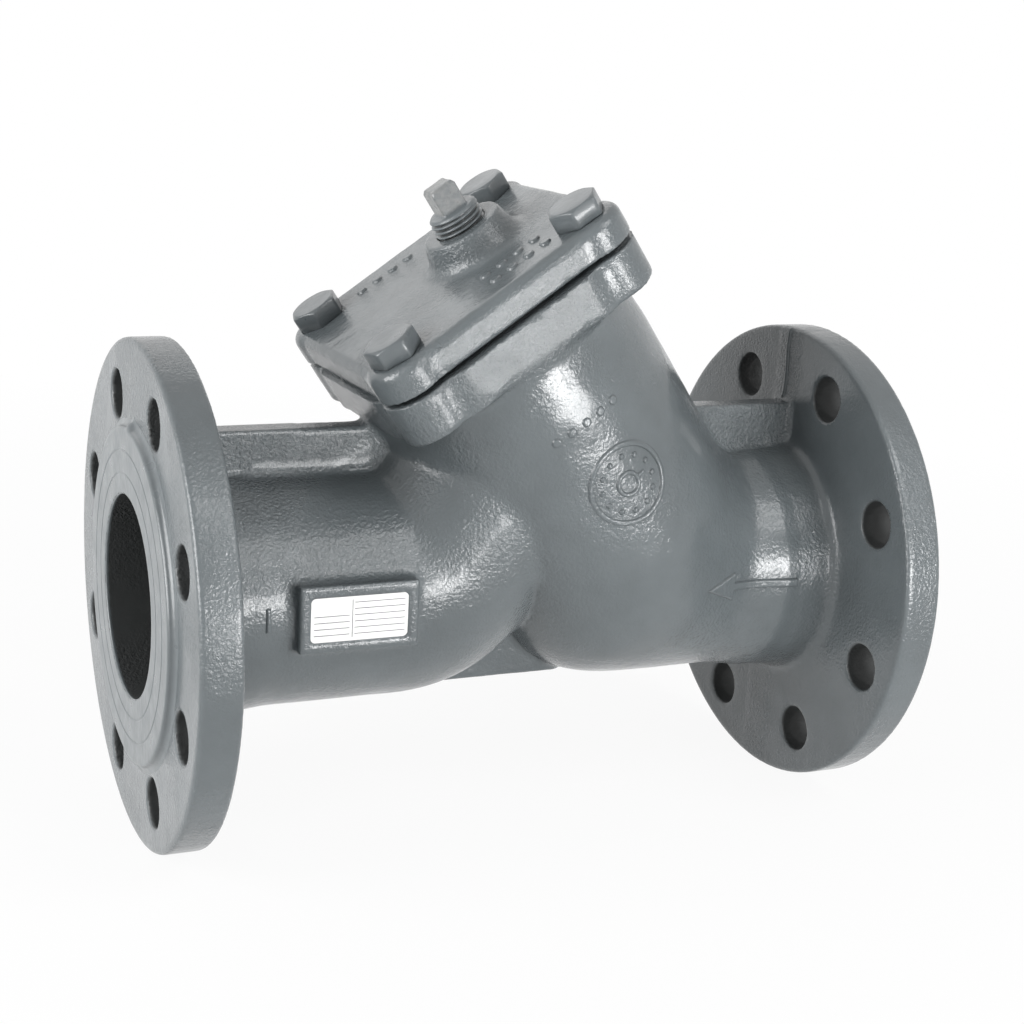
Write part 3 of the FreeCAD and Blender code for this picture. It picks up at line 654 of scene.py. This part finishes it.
def pip_height(count, pitch, radius):
    """Height function of a straight row of round pips along u."""
    def height(u, v):
        nearest = (np.clip(np.round(u / pitch + (count - 1) / 2), 0, count - 1) - (count - 1) / 2) * pitch
        return 0.9 * MM * edge(np.hypot(u - nearest, v) - radius)
    return height


def bar_height(half_length, half_width):
    """Height function of a plain raised bar along u."""
    def height(u, v):
        return 0.9 * MM * edge(np.maximum(np.abs(u) - half_length, np.abs(v) - half_width))
    return height


def hexagon_bolt(number, turn, material):
    """Bolt whose head is a hexagon cut by a cone and whose shank carries a thread, as rows over the angle.

    The head's radius is half its width over the cosine of the angle from the nearest flat, and the thread's
    radius falls and rises as a triangle wave of height and angle.
    """
    sizes = bpy.context.scene.strainer_sizes
    node = f"cover_bolt_{number}"
    foot, top, across, beside = branch_span(node)
    seat = top - sizes.head_height
    columns = 96
    angle = np.arange(columns) * 2 * np.pi / columns
    flat = (angle - math.radians(turn)) % (math.pi / 3) - math.pi / 6
    half = sizes.head_width / 2
    hexagon = half / np.cos(flat)
    hexagon = np.minimum(hexagon, half * 1.135)
    face = half - 0.6 * MM
    fall = (hexagon - face) * math.tan(math.radians(26))
    shank = sizes.shank_diameter / 2
    around = np.ones(columns)
    rows = [(0 * around, foot), (around * (shank - 1.4 * MM), foot), (around * (shank - 0.9 * MM), foot + 0.4 * MM)]
    levels = np.arange(foot + 0.8 * MM, seat - 6 * MM, sizes.thread_pitch / 8)
    for level in levels:
        share = np.abs(((level - foot) / sizes.thread_pitch - angle / (2 * np.pi)) % 1 - 0.5) * 2
        rows.append((shank - 0.95 * MM * share, level))
    rows += [(shank * around, seat - 5.5 * MM), (shank * around, seat), (hexagon - 0.4 * MM, seat),
             (hexagon, seat + 0.35 * MM), (hexagon, top - fall - 0.25 * MM), (hexagon - 0.15 * MM, top - fall),
             (face + (hexagon - face) * 0.25, top - fall * 0.25), (face * around, top - 0.06 * MM),
             ((face - 0.35 * MM) * around, top), (face * 0.5 * around, top), (0 * around, top)]
    rows = [(np.asarray(r, float), h) for r, h in rows]
    points, faces = turned(rows)
    points[:, 0] += across
    points[:, 1] += beside
    piece = add_mesh(f"{node}_detail", in_branch(points), faces, material, f"bolt_{number}")
    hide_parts(node)
    return piece


class STRAINER_OT_casting(bpy.types.Operator):
    """Cast body with filleted creases and an uneven painted skin"""
    bl_idname = "strainer.casting"
    bl_label = "Cast body"

    def execute(self, context):
        sizes = context.scene.strainer_sizes
        mesh = casting_skin("strainer_body", sizes.voxel, 190000, body_shape)
        smooth_paint("painted_face", 1.05)
        piece = place_piece(mesh, "casting_skin", casting_paint(), "casing")
        keep_flats_flat(piece)
        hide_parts("strainer_body")
        return {"FINISHED"}


class STRAINER_OT_cover(bpy.types.Operator):
    """Cover casting with rounded rim"""
    bl_idname = "strainer.cover"
    bl_label = "Cover"

    def execute(self, context):
        sizes = context.scene.strainer_sizes
        mesh = casting_skin("cover", sizes.voxel * 0.7, 120000, cover_shape)
        piece = place_piece(mesh, "cover_skin", bpy.data.materials["painted_casting"], "cover_plate")
        keep_flats_flat(piece)
        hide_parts("cover")
        return {"FINISHED"}


class STRAINER_OT_bolts(bpy.types.Operator):
    """Hexagon bolts of the cover, each left at its own turn"""
    bl_idname = "strainer.bolts"
    bl_label = "Cover bolts"

    def execute(self, context):
        material = smooth_paint("painted_bolt", 0.9)
        for number, turn in enumerate((24, 0, 42, 10), 1):
            hexagon_bolt(number, turn, material)
        return {"FINISHED"}


class STRAINER_OT_inner(bpy.types.Operator):
    """Finishes of the gasket, the screen and its rings"""
    bl_idname = "strainer.inner"
    bl_label = "Gasket and screen"

    def execute(self, context):
        steel = stainless()
        for node, material in (("cover_gasket", graphite()), ("screen_tube", steel), ("screen_mesh", woven_wire()),
                               ("screen_seat_ring", steel), ("screen_top_ring", steel)):
            mesh = frame["nodes"][node].data
            mesh.materials.clear()
            mesh.materials.append(material)
        return {"FINISHED"}


def plug_rows(foot, top):
    """Rows of the drain plug: helical thread, its chamfered end, and a square that tapers at its top."""
    sizes = bpy.context.scene.strainer_sizes
    columns = 128
    angle = np.arange(columns) * 2 * np.pi / columns
    around = np.ones(columns)
    radius = sizes.plug_diameter / 2
    flat = (angle + math.pi / 4) % (math.pi / 2) - math.pi / 4
    half = sizes.plug_square / 2
    square = np.minimum(half / np.cos(flat), half * 1.33)
    shoulder = top - sizes.plug_square_height
    rows = [(0 * around, foot), ((radius - 1.6 * MM) * around, foot), ((radius - 1.0 * MM) * around, foot + 0.5 * MM)]
    for level in np.arange(foot + 0.9 * MM, shoulder - 1.5 * MM, sizes.plug_pitch / 10):
        share = np.abs(((level - foot) / sizes.plug_pitch - angle / (2 * np.pi)) % 1 - 0.5) * 2
        rows.append((radius - 1.15 * MM * smooth_step(0.15, 0.95, share), level))
    rows += [((radius - 0.3 * MM) * around, shoulder - 1.2 * MM), ((radius - 0.3 * MM) * around, shoulder - 0.9 * MM),
             ((radius - 1.1 * MM) * around, shoulder - 0.1 * MM), ((radius - 1.5 * MM) * around, shoulder),
             (square + 0.9 * MM, shoulder), (square + 0.25 * MM, shoulder + 0.3 * MM), (square, shoulder + 0.9 * MM),
             (square, top - 1.5 * MM), (square - 0.25 * MM, top - 1.1 * MM), (square - 1.0 * MM, top - 0.15 * MM),
             (square - 1.3 * MM, top), (square * 0.4, top), (0 * around, top)]
    return [(np.asarray(r, float), h) for r, h in rows], shoulder


class STRAINER_OT_plug(bpy.types.Operator):
    """Drain plug with its thread and square"""
    bl_idname = "strainer.plug"
    bl_label = "Drain plug"

    def execute(self, context):
        foot, top, across, beside = branch_span("drain_plug")
        rows, shoulder = plug_rows(foot, top)
        points, faces = turned(rows)
        piece_points = points + np.array((across, beside, 0))
        piece = add_mesh("drain_plug_detail", in_branch(piece_points), faces, plug_paint(), "plug")
        height = points[:, 2]
        reach = np.hypot(points[:, 0], points[:, 1])
        # Depth into the thread's roots, which the plug paint turns into painted shade.
        groove = smooth_step(0.5 * MM, 0.9 * MM, sizes_of("plug_diameter") / 2 - reach) * (height < shoulder - MM)
        for name, values in (("groove", groove), ("square", (height > shoulder + 0.5 * MM).astype(float))):
            layer = piece.data.attributes.new(name, "FLOAT", "POINT")
            layer.data.foreach_set("value", values.astype(np.float32))
        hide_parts("drain_plug")
        return {"FINISHED"}


class STRAINER_OT_faces(bpy.types.Operator):
    """Turned sealing faces of the pipe flanges, each with two fine grooves and a cast foot"""
    bl_idname = "strainer.faces"
    bl_label = "Sealing faces"

    def execute(self, context):
        outline = [(39.75, 0.75, 0), (40.0, 0.25, 0), (40.6, 0.05, 0), (42.2, 0.05, 0)]
        for groove in GROOVE_RADII:
            outline += [(groove + away, depth, 0) for away, depth in GROOVE_PROFILE]
        outline += [(64.2, 0.05, 0), (65.0, 0.05, 0), (65.8, 0.35, 0.6), (66.1, 1.2, 1), (66.6, 2.2, 1),
                    (67.8, 2.85, 1), (69.2, 3.02, 1), (69.6, 3.6, 1), (40.7, 3.6, 0)]
        for name, flip, nib in (("outlet_face", 1, math.pi / 2), ("inlet_face", -1, -math.pi / 2)):
            profile = [(r * MM, (x * MM if flip > 0 else LENGTH - x * MM), share) for r, x, share in outline]

            def waver(angle, nib=nib):
                away = np.abs((angle - nib + np.pi) % (2 * np.pi) - np.pi)
                return 0.12 * MM * np.sin(7 * angle) + 2.2 * MM * np.exp(-(away / 0.035)**2)
            swept(name, profile, waver, 256, bpy.data.materials["painted_face"], "casing")
        return {"FINISHED"}


class STRAINER_OT_marks(bpy.types.Operator):
    """Raised marks of the pattern: flow arrow, date dial, pips, a bar and the parting line"""
    bl_idname = "strainer.marks"
    bl_label = "Cast marks"

    def execute(self, context):
        paint = bpy.data.materials["painted_casting"]
        x_axis, z_axis = np.array((1.0, 0, 0)), np.array((0, 0, 1.0))
        neck = np.array((250.3 * MM, -PIPE_RADIUS, 0.6 * MM))
        relief("flow_arrow", "casting_skin", neck, x_axis, z_axis, 24 * MM, 7.5 * MM, arrow_height, paint,
               "casing")
        dial = in_branch(np.array((3 * MM, -BARREL_RADIUS, 59 * MM)))
        relief("date_dial", "casting_skin", dial, ACROSS, ALONG, 18 * MM, 18 * MM, dial_height, paint,
               "casing")
        row = in_branch(np.array((1 * MM, -BARREL_RADIUS, 91 * MM)))
        relief("barrel_pips", "casting_skin", row, ACROSS, ALONG, 17 * MM, 4 * MM, pip_height(5, 7 * MM, 1.8 * MM),
               paint, "casing")
        bar = np.array((42.7 * MM, -PIPE_RADIUS, 1.5 * MM))
        relief("pipe_bar", "casting_skin", bar, z_axis, -x_axis, 6 * MM, 2.5 * MM, bar_height(4.6 * MM, 0.9 * MM),
               paint, "casing")
        line = np.array((LENGTH - FLANGE_THICKNESS, 1.2 * MM, 84.5 * MM))
        relief("parting_line", "casting_skin", line, SIDE, z_axis * -1, 2.5 * MM, 15 * MM,
               lambda u, v: 0.8 * MM * edge(np.abs(u + 0.3 * MM * np.sin(v / (4 * MM))) - 0.8 * MM, 0.7 * MM),
               paint, "casing")
        top = branch_span("cover")[1]
        for name, across, beside in (("cover_pips_far", -12, 42), ("cover_pips_near", 16, -42),
                                     ("cover_pips_middle", 16, -32)):
            spot = in_branch(np.array((across * MM, beside * MM, top)))
            relief(name, "cover_skin", spot, ACROSS, SIDE, 17 * MM, 4 * MM, pip_height(4, 8 * MM, 2.3 * MM),
                   paint, "cover_plate")
        return {"FINISHED"}


class STRAINER_OT_plate(bpy.types.Operator):
    """Bright nameplate with empty ruled fields and a painted shadow round its edge"""
    bl_idname = "strainer.plate"
    bl_label = "Nameplate"

    def execute(self, context):
        mesh = frame["nodes"]["nameplate"].data
        mesh.materials.clear()
        mesh.materials.append(plate_metal())
        low, high = (np.array(corner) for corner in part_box("nameplate"))
        width, height = high[0] - low[0], high[2] - low[2]
        thin, margin = 0.26 * MM, 1.3 * MM
        divider = low[0] + 0.42 * width
        strips = [(divider, divider + thin, low[2] + margin, high[2] - margin)]
        for k in range(6):
            level = low[2] + margin + (height - 2 * margin) * (k + 0.5) / 6
            strips.append((divider + 1 * MM, high[0] - margin, level, level + thin))
            if k < 4:
                strips.append((low[0] + margin, divider - 1 * MM, level, level + thin))
        # Four dark strips round the plate's edge are a painted shadow of the recess it sits in; they share the ink's
        # material.
        strips += [(low[0] - 2 * thin, low[0], low[2], high[2]), (high[0], high[0] + 2 * thin, low[2], high[2]),
                   (low[0], high[0], low[2] - 2 * thin, low[2]), (low[0], high[0], high[2], high[2] + 2 * thin)]
        corners = [[(a, y, c), (b, y, c), (b, y, d), (a, y, d)] for a, b, c, d in strips
                   for y in (low[1] - 0.03 * MM, low[1] + 0.2 * MM)]
        points = np.array(corners).reshape(-1, 3)
        box = np.array([(0, 1, 2, 3), (7, 6, 5, 4), (0, 4, 5, 1), (1, 5, 6, 2), (2, 6, 7, 3), (3, 7, 4, 0)])
        faces = np.concatenate([box + 8 * k for k in range(len(strips))])
        ink_and_shadow = NodeTree("plate_ink").finish((0.12, 0.12, 0.13, 1), 0.5)
        add_mesh("plate_lines", points, [faces], ink_and_shadow, "casing")
        return {"FINISHED"}


CAMERA_PLACE = (-148.07 * MM, -668.23 * MM, 213.13 * MM)
CAMERA_AZIMUTH = -23.19
CAMERA_FALL = 15.02
CAMERA_ROLL = 2.68
CAMERA_LENS = 64.02
CAMERA_SHIFT = (0.0524, 0.0179)


def add_camera():
    """Camera at the photograph's place, looking along its azimuth and fall, then rolled."""
    data = bpy.data.cameras.new("camera")
    data.sensor_width = 36
    data.lens = CAMERA_LENS
    data.shift_x, data.shift_y = CAMERA_SHIFT
    data.clip_start = 0.01
    camera = bpy.data.objects.new("camera", data)
    azimuth = Matrix.Rotation(math.radians(CAMERA_AZIMUTH), 4, "Z")
    fall = Matrix.Rotation(math.radians(90 - CAMERA_FALL), 4, "X")
    roll = Matrix.Rotation(math.radians(CAMERA_ROLL), 4, "Z")
    camera.matrix_world = Matrix.Translation(CAMERA_PLACE) @ (azimuth @ fall) @ roll
    bpy.context.scene.collection.objects.link(camera)
    bpy.context.scene.camera = camera


def add_light(name, place, target, width, height, power):
    """Rectangular lamp at a place, turned to a target."""
    data = bpy.data.lights.new(name, "AREA")
    data.shape = "RECTANGLE"
    data.size = width
    data.size_y = height
    data.energy = power
    light = bpy.data.objects.new(name, data)
    light.location = place
    light.rotation_euler = (Vector(target) - Vector(place)).to_track_quat("-Z", "Y").to_euler()
    bpy.context.scene.collection.objects.link(light)


def white_to_the_eye(tree, plain, share):
    """Mix a plain shader with white light for camera, glossy and transmission rays."""
    path = tree.nodes.new("ShaderNodeLightPath")
    first = tree.nodes.new("ShaderNodeMath")
    first.operation = "MAXIMUM"
    tree.links.new(path.outputs["Is Camera Ray"], first.inputs[0])
    tree.links.new(path.outputs["Is Glossy Ray"], first.inputs[1])
    second = tree.nodes.new("ShaderNodeMath")
    second.operation = "MAXIMUM"
    tree.links.new(first.outputs[0], second.inputs[0])
    tree.links.new(path.outputs["Is Transmission Ray"], second.inputs[1])
    amount = tree.nodes.new("ShaderNodeMath")
    amount.operation = "MULTIPLY"
    tree.links.new(second.outputs[0], amount.inputs[0])
    if isinstance(share, bpy.types.NodeSocket):
        tree.links.new(share, amount.inputs[1])
    else:
        amount.inputs[1].default_value = share
    white = tree.nodes.new("ShaderNodeEmission")
    white.inputs["Strength"].default_value = 1.0
    mix = tree.nodes.new("ShaderNodeMixShader")
    tree.links.new(amount.outputs[0], mix.inputs[0])
    tree.links.new(plain, mix.inputs[1])
    tree.links.new(white.outputs[0], mix.inputs[2])
    return mix.outputs[0]


class STRAINER_OT_stage(bpy.types.Operator):
    """Pale floor, soft studio light, world and camera"""
    bl_idname = "strainer.stage"
    bl_label = "Stage"

    def execute(self, context):
        low = CAD_BOX[0][2]
        reach = 6.0
        mesh = bpy.data.meshes.new("floor")
        mesh.from_pydata([(-reach, -reach, low), (reach, -reach, low), (reach, reach, low), (-reach, reach, low)],
                         [], [(0, 1, 2, 3)])
        floor = bpy.data.objects.new("floor", mesh)
        context.scene.collection.objects.link(floor)
        material = bpy.data.materials.new("pale_floor")
        material.use_nodes = True
        tree = material.node_tree
        shader = tree.nodes["Principled BSDF"]
        shader.inputs["Base Color"].default_value = (0.9, 0.9, 0.9, 1)
        shader.inputs["Roughness"].default_value = 0.8
        spot = tree.nodes.new("ShaderNodeTexCoord")
        reach_of = tree.nodes.new("ShaderNodeVectorMath")
        reach_of.operation = "LENGTH"
        tree.links.new(spot.outputs["Object"], reach_of.inputs[0])
        share = tree.nodes.new("ShaderNodeMapRange")
        tree.links.new(reach_of.outputs["Value"], share.inputs["Value"])
        for key, number in (("From Min", 0.3), ("From Max", 1.0), ("To Min", 0.92), ("To Max", 1.0)):
            share.inputs[key].default_value = number
        output = tree.nodes["Material Output"]
        tree.links.new(white_to_the_eye(tree, shader.outputs[0], share.outputs[0]), output.inputs["Surface"])
        mesh.materials.append(material)
        world = bpy.data.worlds.new("studio")
        context.scene.world = world
        world.use_nodes = True
        tree = world.node_tree
        background = tree.nodes["Background"]
        background.inputs["Color"].default_value = (1, 1, 1, 1)
        background.inputs["Strength"].default_value = 0.3
        tree.links.new(white_to_the_eye(tree, background.outputs[0], 1.0), tree.nodes["World Output"].inputs["Surface"])
        middle = (150 * MM, 0, 20 * MM)
        add_light("key", (0.62, -0.85, 0.95), middle, 0.6, 0.6, 6)
        add_light("front", (0.46, -0.92, 0.02), middle, 0.4, 0.22, 7)
        add_light("left", (-1.1, -0.15, 0.25), (0, 0, 0), 0.9, 0.9, 21)
        add_light("back", (0.2, 1.2, 1.0), middle, 1.2, 0.8, 2)
        add_camera()
        context.scene.view_settings.view_transform = "Standard"
        return {"FINISHED"}


class StrainerSizes(bpy.types.PropertyGroup):
    voxel: FloatProperty(name="Skin step", description="Step of the even skin on the castings", default=0.95 * MM,
                         min=0.3 * MM, unit="LENGTH", precision=5)
    edge_passes: IntProperty(name="Edge passes", description="How far the castings' edges are rounded",
                             default=7, min=0)
    fillet_passes: IntProperty(name="Fillet passes", description="How far the castings' creases are filled",
                               default=30, min=0)
    face_relief: FloatProperty(name="Face relief", description="How far the skin lies under the turned faces",
                               default=0.6 * MM, unit="LENGTH", precision=5)
    plug_diameter: FloatProperty(name="Plug thread", description="Outside of the drain plug's thread",
                                 default=21 * MM, unit="LENGTH", precision=5)
    plug_pitch: FloatProperty(name="Plug pitch", description="Rise of the drain plug's thread in one turn",
                              default=2.1 * MM, unit="LENGTH", precision=5)
    plug_square: FloatProperty(name="Plug square", description="Across the flats of the plug's square",
                               default=11 * MM, unit="LENGTH", precision=5)
    plug_square_height: FloatProperty(name="Square height", description="Height of the plug's square",
                                      default=11 * MM, unit="LENGTH", precision=5)
    unevenness: FloatProperty(name="Unevenness", description="Height of the waves in the cast skin",
                              default=0.07 * MM, unit="LENGTH", precision=5)
    head_width: FloatProperty(name="Head width", description="Across the flats of a bolt head", default=19 * MM,
                              unit="LENGTH", precision=5)
    head_height: FloatProperty(name="Head height", description="Height of a bolt head", default=8 * MM,
                               unit="LENGTH", precision=5)
    shank_diameter: FloatProperty(name="Shank", description="Diameter of a bolt's shank", default=12 * MM,
                                  unit="LENGTH", precision=5)
    thread_pitch: FloatProperty(name="Thread pitch", description="Rise of a bolt's thread in one turn",
                                default=1.75 * MM, unit="LENGTH", precision=5)


class StrainerColours(bpy.types.PropertyGroup):
    paint: FloatVectorProperty(name="Paint", description="Grey paint of the castings and bolts", subtype="COLOR",
                               size=3, default=(0.096, 0.109, 0.115), min=0, max=1)
    # Near-black colour of the passages and bolt holes: partly darker bare metal, partly painted shade.
    bore_dark_and_shade: FloatVectorProperty(name="Bore", description="Dark coating of the passages", subtype="COLOR",
                              size=3, default=(0.022, 0.024, 0.024), min=0, max=1)


OPERATORS = (STRAINER_OT_casting, STRAINER_OT_cover, STRAINER_OT_faces, STRAINER_OT_marks, STRAINER_OT_bolts,
             STRAINER_OT_plug, STRAINER_OT_plate, STRAINER_OT_inner, STRAINER_OT_stage)


class STRAINER_PT_pieces(bpy.types.Panel):
    """Sizes, colours and one button for each piece"""
    bl_label = "Flanged strainer"
    bl_idname = "STRAINER_PT_pieces"
    bl_space_type = "VIEW_3D"
    bl_region_type = "UI"
    bl_category = "Strainer"

    def draw(self, context):
        for group in (context.scene.strainer_sizes, context.scene.strainer_colours):
            for key in group.__annotations__:
                self.layout.prop(group, key)
        for operator in OPERATORS:
            self.layout.operator(operator.bl_idname)


CLASSES = (StrainerSizes, StrainerColours, *OPERATORS, STRAINER_PT_pieces)


def register():
    for item in CLASSES:
        bpy.utils.register_class(item)
    bpy.types.Scene.strainer_sizes = PointerProperty(type=StrainerSizes)
    bpy.types.Scene.strainer_colours = PointerProperty(type=StrainerColours)


def unregister():
    del bpy.types.Scene.strainer_colours
    del bpy.types.Scene.strainer_sizes
    for item in reversed(CLASSES):
        bpy.utils.unregister_class(item)


def main():
    """Build every piece in order."""
    register()
    for operator in OPERATORS:
        group, name = operator.bl_idname.split(".")
        getattr(getattr(bpy.ops, group), name)()


if __name__ == "__main__":
    main()
